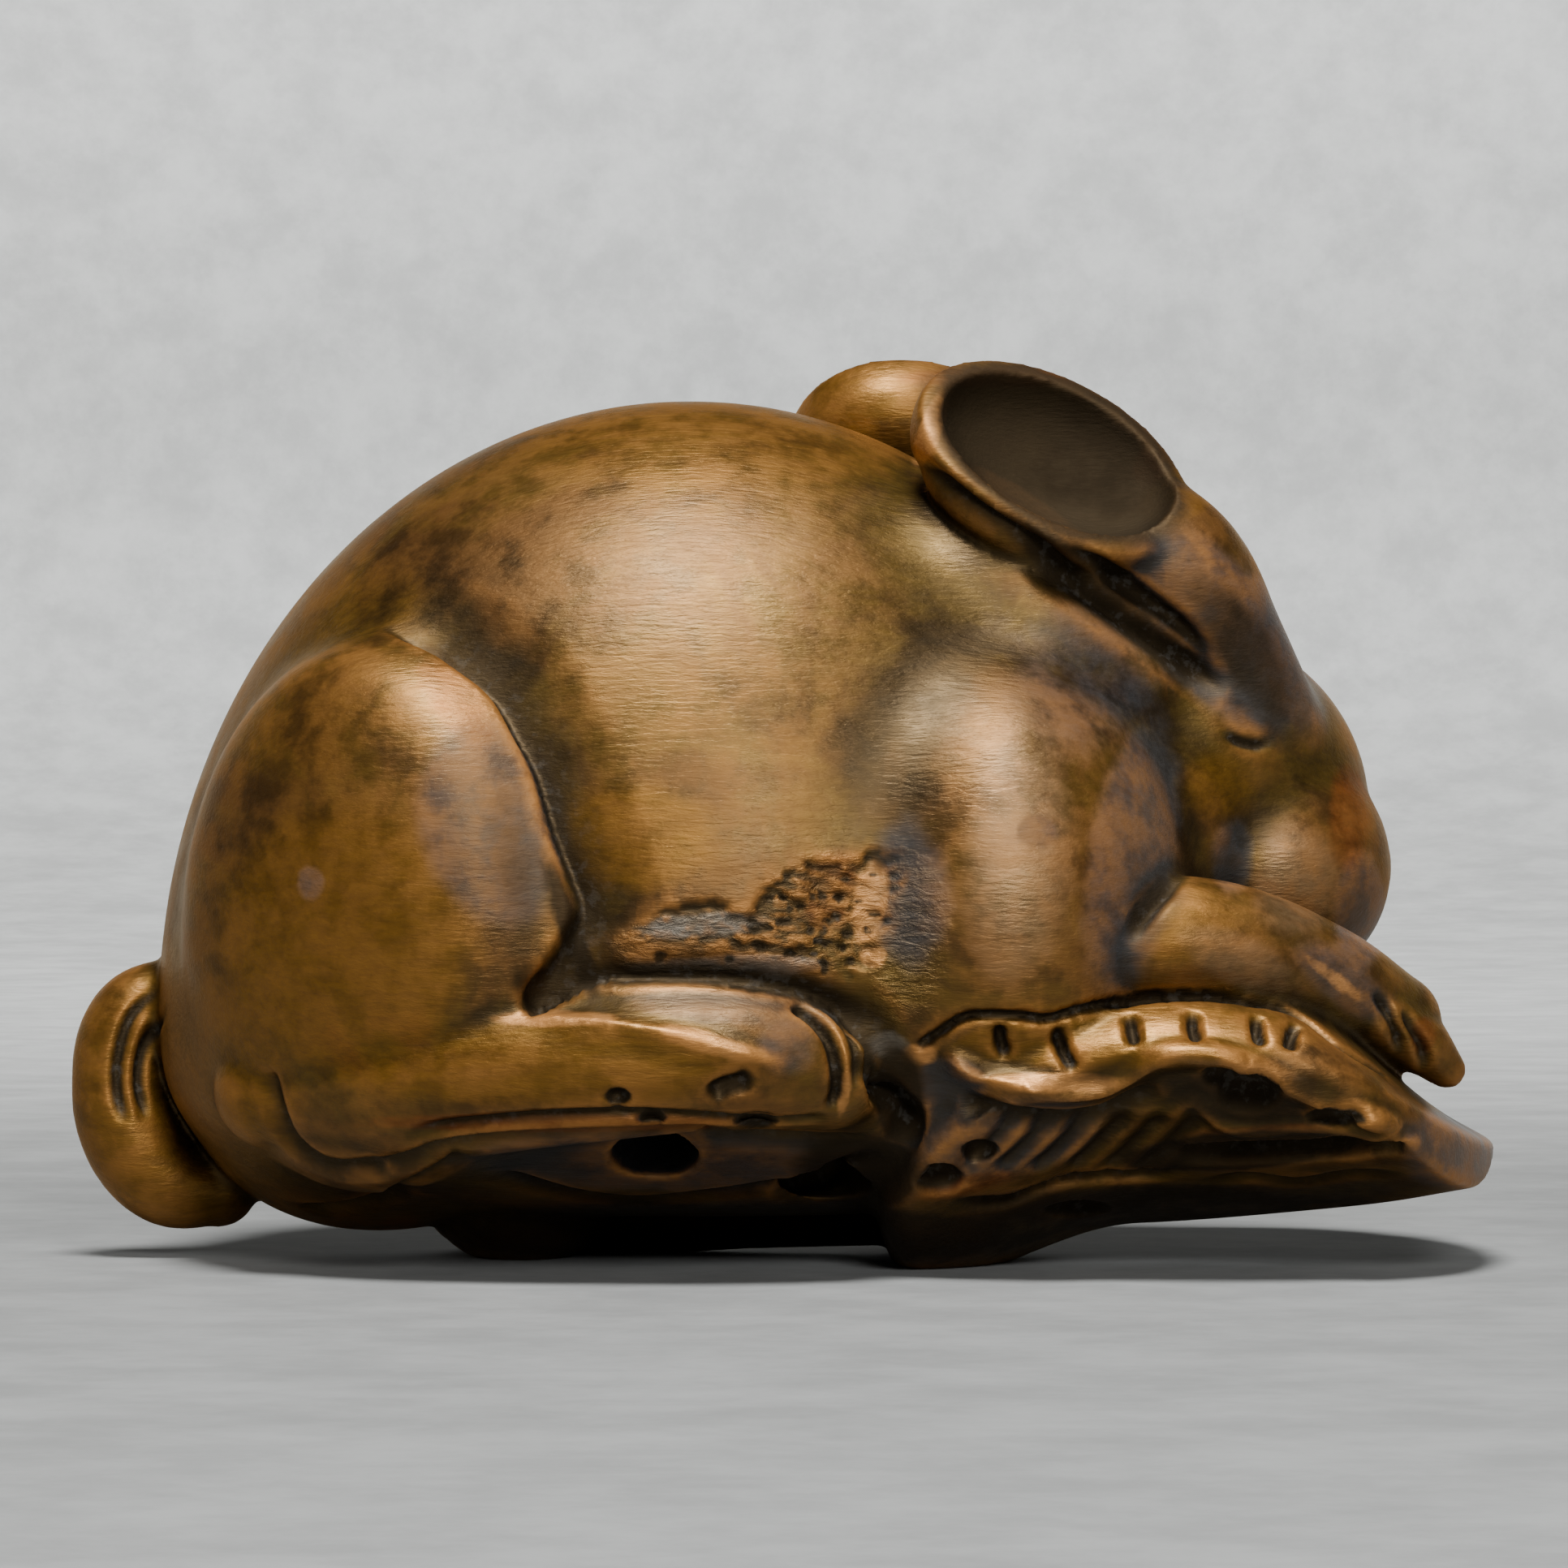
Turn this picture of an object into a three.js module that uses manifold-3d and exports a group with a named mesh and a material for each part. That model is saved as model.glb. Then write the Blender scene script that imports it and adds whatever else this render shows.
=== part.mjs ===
// A pocket-sized toggle carving: a round-bodied puppy crouching over an abalone shell, cut from one
// block of boxwood. Sizes are in millimetres. +X runs from the tail to the head, +Y to the animal's
// left, +Z up.
// Everything is placed from the middle of the body's footprint, and the finished solid is then centred over the
// origin, with the flats that it stands on at Z = 0.

import * as THREE from "three";
import { mergeVertices } from "three/addons/utils/BufferGeometryUtils.js";
import Module from "manifold-3d";

const wasm = await Module();
wasm.setup();

// Driving sizes.
const bodyHalfLength = 16.5;
const bodyHalfWidth = 12.2;
const backHeight = 26.6; // from the ground to the top of the back
const bodyWaist = 7.55; // height of the widest outline, where the dome turns in to the belly
const bellyClearance = 1.3; // the belly hangs this far over the ground
const flankTuck = 0.92; // how far the flanks draw in below the waist
const bodyX = -2.75; // middle of the body along the carving
const headYaw = 24; // degrees, the head looks a little to its own left
const headPitch = 57; // degrees, the brow slopes down to the nose
const cordHoleRadius = 1.3;
const shellX = 12.2;
const shellHalfLength = 9.75;
const shellHalfWidth = 11.6;
const keelX = 7.7; // where the shell's hull meets the ground

const { degToRad, clamp, lerp, smoothstep } = THREE.MathUtils;
const point = (x, y, z) => new THREE.Vector3(x, y, z);

// Solids and the tools that shape them.

function toSolid(geometry) {
  const bare = geometry.clone();
  bare.deleteAttribute("normal");
  bare.deleteAttribute("uv");
  const merged = mergeVertices(bare, 1e-4);
  return new wasm.Manifold(
    new wasm.Mesh({
      numProp: 3,
      vertProperties: new Float32Array(merged.attributes.position.array),
      triVerts: new Uint32Array(merged.index.array),
    }),
  );
}

function toGeometry(solid) {
  const mesh = solid.getMesh();
  const geometry = new THREE.BufferGeometry();
  geometry.setAttribute("position", new THREE.BufferAttribute(mesh.vertProperties, 3));
  geometry.setIndex(new THREE.BufferAttribute(mesh.triVerts, 1));
  return geometry;
}

const joined = (solids) => solids.reduce((whole, piece) => whole.add(piece));

// The same piece on the animal's other side.
const mirrored = (solid) => solid.mirror([0, 1, 0]);

// Moves every vertex of a geometry by a rule.
function reshape(geometry, rule) {
  const places = geometry.attributes.position;
  const place = new THREE.Vector3();
  for (let i = 0; i < places.count; i++) {
    rule(place.fromBufferAttribute(places, i));
    places.setXYZ(i, place.x, place.y, place.z);
  }
  return geometry;
}

// An ellipsoid with its poles on Z, pitched about Y, then turned about Z, then placed.
function lobe(at, size, { yaw = 0, pitch = 0, around = 16, along = 10 } = {}) {
  const geometry = new THREE.SphereGeometry(1, around, along);
  geometry.rotateX(Math.PI / 2);
  geometry.scale(...size);
  geometry.rotateY(degToRad(pitch));
  geometry.rotateZ(degToRad(yaw));
  geometry.translate(...at);
  return toSolid(geometry);
}

// A blunt-ended limb that follows a smooth curve through the stations [x, y, z, radius].
function limb(stations, { around = 12, along = 14, up = point(0, 0, 1), blunt = 3.2 } = {}) {
  const curve = new THREE.CatmullRomCurve3(stations.map(([x, y, z]) => point(x, y, z)));
  const radiusAt = (t) => {
    const reach = t * (stations.length - 1);
    const i = Math.min(Math.floor(reach), stations.length - 2);
    return lerp(stations[i][3], stations[i + 1][3], reach - i);
  };
  const geometry = reshape(new THREE.SphereGeometry(1, around, along), (place) => {
    const axial = clamp(place.y, -1, 1);
    const ring = Math.hypot(place.x, place.z);
    const t = (1 + axial) / 2;
    const radius = radiusAt(t) * (1 - Math.abs(axial) ** blunt) ** (1 / blunt);
    const tangent = curve.getTangent(t);
    const side = point(0, 0, 0).crossVectors(up, tangent).normalize();
    const top = point(0, 0, 0).crossVectors(tangent, side);
    const [across, above] = ring > 1e-6 ? [place.x / ring, place.z / ring] : [0, 0];
    place.copy(curve.getPoint(t));
    place.addScaledVector(side, -across * radius);
    place.addScaledVector(top, above * radius);
  });
  return toSolid(geometry);
}

// The trunk and head.

// Each mass is an ellipsoid; drop is its own lower half height where that differs from the upper one,
// and blend is the radius of the hollow where it grows out of the masses before it.
const headCentre = point(12.25, 0.8, 15.3);

function onHead(forward, left, up) {
  return point(forward, left, up)
    .applyAxisAngle(point(0, 1, 0), degToRad(headPitch))
    .applyAxisAngle(point(0, 0, 1), degToRad(headYaw))
    .add(headCentre)
    .toArray();
}

const bothSides = (mass) => [
  mass,
  { ...mass, at: [mass.at[0], -mass.at[1], mass.at[2]], yaw: -(mass.yaw ?? 0) },
];

const headMass = (place, size, blend) => ({
  at: onHead(...place),
  size,
  yaw: headYaw,
  pitch: headPitch,
  blend,
});

const masses = [
  {
    at: [bodyX, 0, bodyWaist],
    size: [bodyHalfLength, bodyHalfWidth, backHeight - bodyWaist],
    drop: bodyWaist - bellyClearance,
  },
  { at: [-12.4, 0.6, 4.9], size: [5.9, 7.0, 4.2], blend: 1.5 }, // seat
  ...bothSides({ at: [-12.2, -7.9, 10.6], size: [6.6, 3.3, 8.5], yaw: -31, blend: 0.6 }), // thighs
  ...bothSides({ at: [6.0, -5.0, 10.8], size: [6.4, 7.2, 9.2], yaw: 8, blend: 2.5 }), // shoulders
  ...bothSides({ at: [7.8, -3.8, 20.1], size: [5.4, 3.7, 2.7], pitch: 28, blend: 1.5 }), // nape
  ...bothSides({ at: [7.0, -8.0, 9.2], size: [4.6, 3.3, 3.2], blend: 1.6 }), // upper arms
  { at: [9.0, 0, 16.6], size: [5.2, 7.0, 6.0], pitch: 30, blend: 2.5 }, // neck
  { at: [9.4, 0, 8.8], size: [7.2, 7.4, 5.4], blend: 2 }, // chest
  ...bothSides({ at: [11.2, -3.2, 13.4], size: [3.2, 3.6, 4.4], blend: 1.5 }), // throat
  headMass([-0.4, 0, -0.6], [7.4, 6.4, 4.7], 1.6), // skull
  headMass([3.5, -3.5, -0.5], [3.8, 3.5, 3.8], 1.2), // right cheek
  headMass([3.9, 3.6, -0.6], [3.7, 3.5, 3.9], 1.2), // left cheek
  headMass([4.6, 0, 0.6], [3.4, 3.9, 3.3], 1.6), // muzzle
  headMass([-0.2, 0, 1.0], [4.8, 4.8, 3.1], 1.2), // forehead
  headMass([1.2, -0.8, 0.9], [4.9, 5.0, 3.9], 1.2), // brow
  headMass([-4.0, -0.6, 0.1], [4.2, 4.8, 3.7], 1.6), // poll, between the ears
  { at: [11.6, 0.2, 18.8], size: [3.4, 4.6, 3.3], blend: 1.6 }, // crown, in front of the ears
];

for (const mass of masses) {
  mass.turn = new THREE.Matrix4()
    .makeRotationZ(degToRad(mass.yaw ?? 0))
    .multiply(new THREE.Matrix4().makeRotationY(degToRad(mass.pitch ?? 0)))
    .setPosition(...mass.at)
    .invert();
}

// How far a place lies outside one mass, close to its skin.
function outsideOf(mass, place) {
  const local = place.clone().applyMatrix4(mass.turn);
  const [length, width, height] = mass.size;
  const below = local.z < 0 && mass.drop;
  const [x, y, z] = [
    local.x / length,
    local.y / (below ? width * flankTuck : width),
    local.z / (below ? mass.drop : height),
  ];
  if (below) {
    const power = 2 + Math.min(1, -3 * z);
    const reach = (Math.abs(x) ** power + Math.hypot(y, z) ** power) ** (1 / power);
    return local.length() * (1 - 1 / Math.max(reach, 1e-6));
  }
  const reach = Math.hypot(x, y, z);
  const slope = Math.hypot(x / length, y / width, z / height);
  return (reach * (reach - 1)) / Math.max(slope, 1e-6);
}

function smoothUnion(near, far, blend) {
  const share = clamp(0.5 + (0.5 * (far - near)) / blend, 0, 1);
  return lerp(far, near, share) - blend * share * (1 - share);
}

const outsideTrunk = (place) =>
  masses.reduce((nearest, mass) => smoothUnion(outsideOf(mass, place), nearest, mass.blend ?? 1), 1e3);

// A ball pulled in, along each of its rays, to the outermost skin of the blended masses.
function trunk() {
  const middle = point(1, 0, 9.5);
  const farthest = 32;
  const ball = new THREE.IcosahedronGeometry(1, 13);
  const skin = reshape(ball, (ray) => {
    let reach = farthest;
    for (let step = 0; step < 60; step++) {
      const gap = outsideTrunk(ray.clone().multiplyScalar(reach).add(middle));
      if (gap < 0.01) break;
      reach -= 0.8 * gap;
    }
    ray.multiplyScalar(reach).add(middle);
  });
  return toSolid(skin);
}

// Limbs and tail.

function hindFoot() {
  return joined([
    limb(
      [
        [-15.0, -6.8, 5.6, 1.9],
        [-11.0, -9.0, 5.9, 2.5],
        [-6.0, -10.6, 6.4, 2.3],
        [-1.5, -10.9, 6.7, 2.2],
        [1.4, -10.2, 6.5, 2.0],
      ],
      { along: 18, around: 14, blunt: 4 },
    ),
    limb([[0.6, -9.6, 7.4, 1.3], [2.0, -9.5, 6.8, 1.5], [2.2, -9.2, 5.8, 1.4]], { along: 8, around: 8 }),
  ]);
}

// The left hind foot is drawn in under the belly, where the carving stands on it, and reaches to the shell.
const tuckedFoot = () =>
  joined([
    limb([[-9.4, 3.6, 1.9, 1.9], [-6.0, 3.2, 1.8, 2.0], [-1.0, 2.6, 2.0, 1.9], [4.4, 1.6, 2.3, 2.0]]),
    lobe([-8.0, 1.2, 2.0], [3.0, 4.2, 2.35], { around: 14, along: 8 }), // heel
  ]);

function foreleg() {
  const toes = [-1, 0, 1].map((step) =>
    limb(
      [
        [17.9, -6.0 + 1.1 * step, 7.6, 0.95],
        [19.3, -5.2 + 1.15 * step, 6.9 - 0.15 * Math.abs(step), 0.9],
        [20.0, -4.9 + 1.15 * step, 6.1, 0.6],
      ],
      { around: 8, along: 7 },
    ),
  );
  const arm = limb(
    [
      [7.0, -7.9, 9.6, 2.2],
      [10.0, -8.6, 9.9, 2.1],
      [13.0, -8.3, 9.8, 2.0],
      [16.2, -7.0, 8.7, 1.8],
      [18.4, -5.7, 7.5, 1.5],
    ],
    { along: 16, around: 14 },
  );
  return joined([arm, ...toes]);
}

// A fat curl that hugs the rump, with its tip drawn in under it.
const tail = () =>
  limb(
    [
      [-18.4, 0.4, 8.2, 1.2],
      [-19.9, 0.2, 7.4, 1.45],
      [-20.4, 0.2, 5.4, 1.5],
      [-19.9, 0.4, 3.5, 1.6],
      [-18.9, 0.6, 2.4, 1.5],
      [-17.4, 0.8, 2.1, 1.2],
    ],
    { along: 18, around: 12, up: point(0, 1, 0) },
  );

// The ears.

// Each cupped ear is an oval bowl that lies back over the neck and opens up and outwards.
const earLength = 4.5;
const earWidth = 3.6;
const earDepth = 2.6;
const earWall = 0.7;
const nearEar = { at: [8.3, -5.2, 24.5], long: [0.88, 0, -0.47], open: [0.33, -0.7, 0.63] };
const farEar = { at: [4.5, 6.0, 25.0], long: [0.84, 0.36, -0.40], open: [-0.05, 0.8, 0.6] };

function earFrame({ at, long, open }) {
  const x = point(...long).normalize();
  const z = point(...open).addScaledVector(x, -x.dot(point(...open))).normalize();
  const y = point(0, 0, 0).crossVectors(z, x);
  return new THREE.Matrix4().makeBasis(x, y, z).setPosition(...at);
}

function earCup(ear) {
  const rings = 6;
  const profile = [];
  for (let i = 0; i <= rings; i++) {
    const angle = (i / rings) * (Math.PI / 2);
    profile.push(new THREE.Vector2(Math.sin(angle) ** 0.7, -earDepth * Math.cos(angle) ** 0.7));
  }
  profile.push(new THREE.Vector2(0.96, 0.35), new THREE.Vector2(0, 0.35));
  const geometry = new THREE.LatheGeometry(profile, 24);
  geometry.rotateX(Math.PI / 2);
  geometry.scale(earLength, earWidth, 1);
  return toSolid(geometry.applyMatrix4(earFrame(ear)));
}

function earHollow(ear) {
  const geometry = new THREE.SphereGeometry(1, 20, 12);
  geometry.rotateX(Math.PI / 2);
  geometry.scale(earLength - earWall, earWidth - earWall, earDepth - 0.5);
  geometry.translate(0, 0, 0.45);
  return toSolid(geometry.applyMatrix4(earFrame(ear)));
}

// The roots that carry the ears down to the back of the skull.
const earRoots = () => [
  limb([
    [7.6, -3.4, 23.2, 1.7],
    [9.8, -3.7, 22.4, 2.3],
    [11.8, -3.8, 21.0, 2.4],
    [13.0, -3.2, 18.7, 2.3],
    [14.0, -2.2, 16.4, 2.1],
  ]),
  limb([[4.0, 4.6, 22.4, 2.4], [6.8, 4.4, 22.0, 3.0], [9.8, 3.8, 20.2, 3.0], [12.2, 3.6, 17.0, 2.2]]),
];

// The shell.

// A lopsided oval dish: a steep band with the row of breathing holes above a rolled rim, then a
// rippled hull.
function shell() {
  const geometry = new THREE.SphereGeometry(1, 38, 12);
  geometry.rotateX(Math.PI / 2);
  reshape(geometry, (place) => {
    const bearing = Math.atan2(place.y, place.x);
    const out = Math.hypot(place.x, place.y);
    const [cos, sin] = [Math.cos(bearing), Math.sin(bearing)];
    const wave = 1 + 0.012 * Math.sin(11 * bearing);
    const power = cos < 0 ? 0.55 : 0.55 + 0.35 * cos;
    const edge = shellX + shellHalfLength * wave * Math.sign(cos) * Math.abs(cos) ** power;
    const x = lerp(keelX, edge, out);
    const rim = 6.5 + 0.35 * Math.sin(0.62 * (x - 9)) - 3.3 * smoothstep(x, 15.5, 22.5);
    const keel = -0.5 + 1.6 * smoothstep(x, 5, 11) + 0.6 * smoothstep(x, 10, 20);
    const rise = place.z > 0 ? 3.2 * (1 - 0.75 * smoothstep(x, 14, 21)) * place.z : 0;
    const full = (1 - place.y ** 2) * (1 - place.x ** 12); // flat along its length, rounded across
    const fall = place.z < 0 ? (rim - keel) * full : 0;
    place.set(x, shellHalfWidth * wave * out * Math.sign(sin) * Math.abs(sin) ** power, rim + rise - fall);
  });
  return toSolid(geometry);
}

function shellNotches() {
  const count = 6;
  return Array.from({ length: count }, (_, i) => {
    const t = i / (count - 1);
    const place = [lerp(6.4, 15.0, t ** 0.9), lerp(-11.3, -10.6, t ** 2), 7.7 - 0.2 * t];
    return lobe(place, [0.28, 0.9, 0.85], { around: 6, along: 6, pitch: -12 });
  });
}

// Cuts.

// The sharp fold in front of the thigh, from the flank down to the hock.
const thighFold = () =>
  limb(
    [
      [-11.2, -10.4, 19.5, 0.2],
      [-9.0, -11.6, 17.5, 0.55],
      [-7.1, -12.3, 14.6, 0.65],
      [-5.6, -12.6, 11.4, 0.7],
      [-6.2, -12.6, 8.8, 0.6],
    ],
    { around: 6, along: 14 },
  );

// The two cord holes in the belly and the bent channel that joins them.
const cordChannel = () =>
  limb(
    [
      [-3.7, -10.6, 1.6, cordHoleRadius],
      [-3.4, -7.4, 4.6, cordHoleRadius],
      [-1.2, -4.4, 6.4, cordHoleRadius],
      [1.0, -5.0, 4.8, cordHoleRadius],
      [1.5, -7.6, 1.2, cordHoleRadius],
    ],
    { around: 10, along: 16, blunt: 8 },
  );

// The lowest points are worn to flats, which the carving stands on.
function ground() {
  const slab = new THREE.BoxGeometry(80, 60, 20);
  slab.translate(0, 0, -10);
  return toSolid(slab);
}

// The finished carving.

function carving() {
  const added = [
    trunk(),
    hindFoot(),
    tuckedFoot(),
    foreleg(),
    mirrored(foreleg()),
    tail(),
    ...earRoots(),
    earCup(nearEar),
    earCup(farEar),
    shell(),
  ];
  const cut = [
    earHollow(nearEar),
    earHollow(farEar),
    thighFold(),
    mirrored(thighFold()),
    cordChannel(),
    ground(),
    ...shellNotches(),
  ];
  const whole = cut.reduce((left, tool) => left.subtract(tool), joined(added));
  // Only the largest body: no sealed pockets between the masses.
  return whole.decompose().sort((a, b) => b.volume() - a.volume())[0];
}

const boxwood = new THREE.MeshStandardMaterial({ color: 0x6b4520, roughness: 0.38, metalness: 0 });
const geometry = toGeometry(carving());
geometry.computeBoundingBox();
const { min, max } = geometry.boundingBox;
geometry.translate(-(min.x + max.x) / 2, -(min.y + max.y) / 2, -min.z);

const netsuke = new THREE.Mesh(geometry, boxwood);
netsuke.name = "netsuke";

const group = new THREE.Group();
group.add(netsuke);

export default group;
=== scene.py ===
import math

import bpy
import numpy as np
from mathutils import Matrix, Vector
from mathutils.bvhtree import BVHTree
from mathutils.kdtree import KDTree


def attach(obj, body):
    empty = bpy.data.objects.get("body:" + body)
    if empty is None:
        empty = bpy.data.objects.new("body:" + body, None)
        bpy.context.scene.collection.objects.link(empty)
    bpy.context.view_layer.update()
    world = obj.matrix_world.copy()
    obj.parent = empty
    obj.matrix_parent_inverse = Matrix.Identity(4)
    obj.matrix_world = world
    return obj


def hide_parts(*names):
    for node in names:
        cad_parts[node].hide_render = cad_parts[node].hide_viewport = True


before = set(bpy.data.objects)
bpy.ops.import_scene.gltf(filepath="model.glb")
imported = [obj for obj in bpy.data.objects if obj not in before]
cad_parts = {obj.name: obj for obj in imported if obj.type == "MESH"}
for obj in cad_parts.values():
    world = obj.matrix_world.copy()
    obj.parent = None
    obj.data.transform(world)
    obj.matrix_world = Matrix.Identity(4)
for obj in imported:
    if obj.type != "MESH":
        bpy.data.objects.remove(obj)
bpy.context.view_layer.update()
mm = 0.001

# +X is towards the head, +Y the puppy's left, +Z up. Sizes in the dictionaries are in millimetres.

viewer = {
    "at": (0.15, -200.0, 14.65),  # level with the middle of the carving
    "lens": 149.0,
    "sensor": 36.0,
}


def addViewer():
    bpy.ops.object.camera_add(location=[v * mm for v in viewer["at"]], rotation=(math.radians(90), 0, 0))
    camera = bpy.context.object
    camera.name = "viewer"
    camera.data.lens = viewer["lens"]
    camera.data.sensor_width = viewer["sensor"]
    camera.data.clip_start = 0.01
    camera.data.clip_end = 10
    bpy.context.scene.camera = camera


addViewer()

# How a block is worked.


def selectOnly(*objects):
    bpy.ops.object.select_all(action="DESELECT")
    for item in objects:
        item.select_set(True)
    bpy.context.view_layer.objects.active = objects[0]


def useModifier(block, kind, **settings):
    selectOnly(block)
    modifier = block.modifiers.new(kind.lower(), kind)
    for key, value in settings.items():
        setattr(modifier, key, value)
    bpy.ops.object.modifier_apply(modifier=modifier.name)


def joinBlocks(blocks, name):
    selectOnly(*blocks)
    if len(blocks) > 1:
        bpy.ops.object.join()
    block = bpy.context.object
    block.name = name
    return block


def fuse(blocks, name, voxel, rounds):
    block = joinBlocks(blocks, name)
    useModifier(block, "REMESH", mode="VOXEL", voxel_size=voxel * mm, use_smooth_shade=True)
    if rounds:
        useModifier(block, "SMOOTH", factor=0.5, iterations=rounds)
    return block


def readPoints(block):
    points = np.empty(len(block.data.vertices) * 3)
    block.data.vertices.foreach_get("co", points)
    return points.reshape(-1, 3) / mm


def readNormals(block):
    normals = np.empty(len(block.data.vertices) * 3)
    block.data.vertex_normals.foreach_get("vector", normals)
    return normals.reshape(-1, 3)


def writePoints(block, points):
    block.data.vertices.foreach_set("co", (points * mm).ravel())
    block.data.update()


def placeBlock(block, at, yaw=0, pitch=0, size=(1, 1, 1)):
    block.scale = size
    block.rotation_euler = (0, math.radians(pitch), math.radians(yaw))
    block.location = [v * mm for v in at]
    selectOnly(block)
    bpy.ops.object.transform_apply(location=True, rotation=True, scale=True)
    return block


def addBall(segments=64):
    bpy.ops.object.select_all(action="DESELECT")
    bpy.ops.mesh.primitive_uv_sphere_add(segments=segments, ring_count=segments // 2, radius=mm)
    return bpy.context.object


def addLobe(at, size, yaw=0, pitch=0):
    return placeBlock(addBall(), at, yaw, pitch, size)


def addLimb(stations):  # each station is x, y, z and the radius there
    bpy.ops.object.select_all(action="DESELECT")
    bpy.ops.curve.primitive_bezier_curve_add()
    curve = bpy.context.object
    curve.data.dimensions = "3D"
    curve.data.resolution_u = 10
    curve.data.bevel_depth = mm
    curve.data.bevel_resolution = 8
    curve.data.use_fill_caps = True
    spline = curve.data.splines[0]
    spline.bezier_points.add(len(stations) - 2)
    for knot, (x, y, z, radius) in zip(spline.bezier_points, stations):
        knot.co = (x * mm, y * mm, z * mm)
        knot.radius = radius
        knot.handle_left_type = knot.handle_right_type = "AUTO"
    selectOnly(curve)
    bpy.ops.object.convert(target="MESH")
    limb = bpy.context.object
    ends = [addLobe(s[:3], [s[3]] * 3) for s in (stations[0], stations[-1])]
    return joinBlocks([limb] + ends, "limb")


def otherSide(stations):
    return [(x, -y, z, r) for x, y, z, r in stations]


# The puppy's body: each lobe is its place and half size, then its yaw and pitch in degrees.
body = {
    "x": -2.75,
    "waist": 7.55,  # height of the widest outline
    "halfLength": 16.5,
    "halfWidth": 12.2,
    "backHeight": 26.6,
    "bellyClearance": 1.3,
    "flankTuck": 0.92,  # how far the flanks draw in below the waist
    "seat": ((-12.4, 0.6, 4.9), (5.9, 7.0, 4.2)),
    "shoulder": ((6.2, -4.9, 10.6), (6.4, 7.3, 8.8), 8),
    "nape": ((7.8, -3.7, 20.0), (5.6, 3.5, 2.9), 0, 28),
    "upperArm": ((7.0, -8.0, 9.2), (4.6, 3.3, 3.2)),
    "neck": ((9.0, 0, 16.6), (5.2, 7.0, 6.0), 0, 30),
    "chest": ((9.4, 0, 8.8), (7.2, 7.4, 5.4)),
    "throat": ((11.2, -3.2, 13.4), (3.2, 3.6, 4.4)),
    "thigh": ((-12.2, -7.9, 10.6), (6.6, 3.3, 8.5), -31),
}


def bothSides(at, size, yaw=0, pitch=0):
    x, y, z = at
    return [addLobe((x, y, z), size, yaw, pitch), addLobe((x, -y, z), size, -yaw, pitch)]


def addBodyBall():
    ball = addBall(96)
    points = readPoints(ball)
    below = points[:, 2] < 0
    x, y, z = points[below].T
    power = 2 + np.minimum(1, -3 * z)  # the ends of the underside are squarer than the back
    reach = (np.abs(x) ** power + np.hypot(y, z) ** power) ** (1 / power)
    drop = (body["waist"] - body["bellyClearance"]) / (body["backHeight"] - body["waist"])
    points[below] = np.stack([x / reach, y / reach * body["flankTuck"], z / reach * drop], axis=1)
    writePoints(ball, points)
    size = (body["halfLength"], body["halfWidth"], body["backHeight"] - body["waist"])
    return placeBlock(ball, (body["x"], 0, body["waist"]), size=size)


def makeTrunk():
    blocks = [addBodyBall(), addLobe(*body["seat"]), addLobe(*body["neck"]), addLobe(*body["chest"])]
    for name in ("shoulder", "nape", "upperArm", "thigh"):
        blocks += bothSides(*body[name])
    return fuse(blocks, "trunk", 0.3, 110)


# The head's lobes are placed forward, left and up from its own middle, apart from the crown.
head = {
    "at": (12.25, 0.8, 15.3),
    "yaw": 24,  # looks a little to its own left
    "pitch": 57,  # the brow slopes down to the nose
    "skull": ((-0.4, 0, -0.6), (7.4, 6.4, 4.7)),
    "rightCheek": ((3.5, -3.5, -0.5), (3.8, 3.5, 3.8)),
    "leftCheek": ((3.9, 3.6, -0.6), (3.7, 3.5, 3.9)),
    "muzzle": ((4.6, 0, 0.6), (3.4, 3.9, 3.3)),
    "forehead": ((-0.2, 0, 1.0), (4.8, 4.8, 3.1)),
    "brow": ((1.2, -0.8, 0.9), (4.9, 5.0, 3.9)),
    "poll": ((-4.0, -0.6, 0.1), (4.2, 4.8, 3.7)),
    "nose": ((7.3, 0, 1.7), (1.0, 1.35, 0.9)),
    "crown": ((11.6, 0.2, 18.8), (3.5, 4.8, 3.4)),  # in front of the ears
}
headTurn = (
    Matrix.Rotation(math.radians(head["yaw"]), 3, "Z")
    @ Matrix.Rotation(math.radians(head["pitch"]), 3, "Y")
)


def onHead(place):
    return headTurn @ Vector(place) + Vector(head["at"])


def makeHeadBlocks():
    names = ("skull", "rightCheek", "leftCheek", "muzzle", "forehead", "brow", "poll")
    return [addLobe(onHead(head[n][0]), head[n][1], head["yaw"], head["pitch"]) for n in names]


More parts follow.
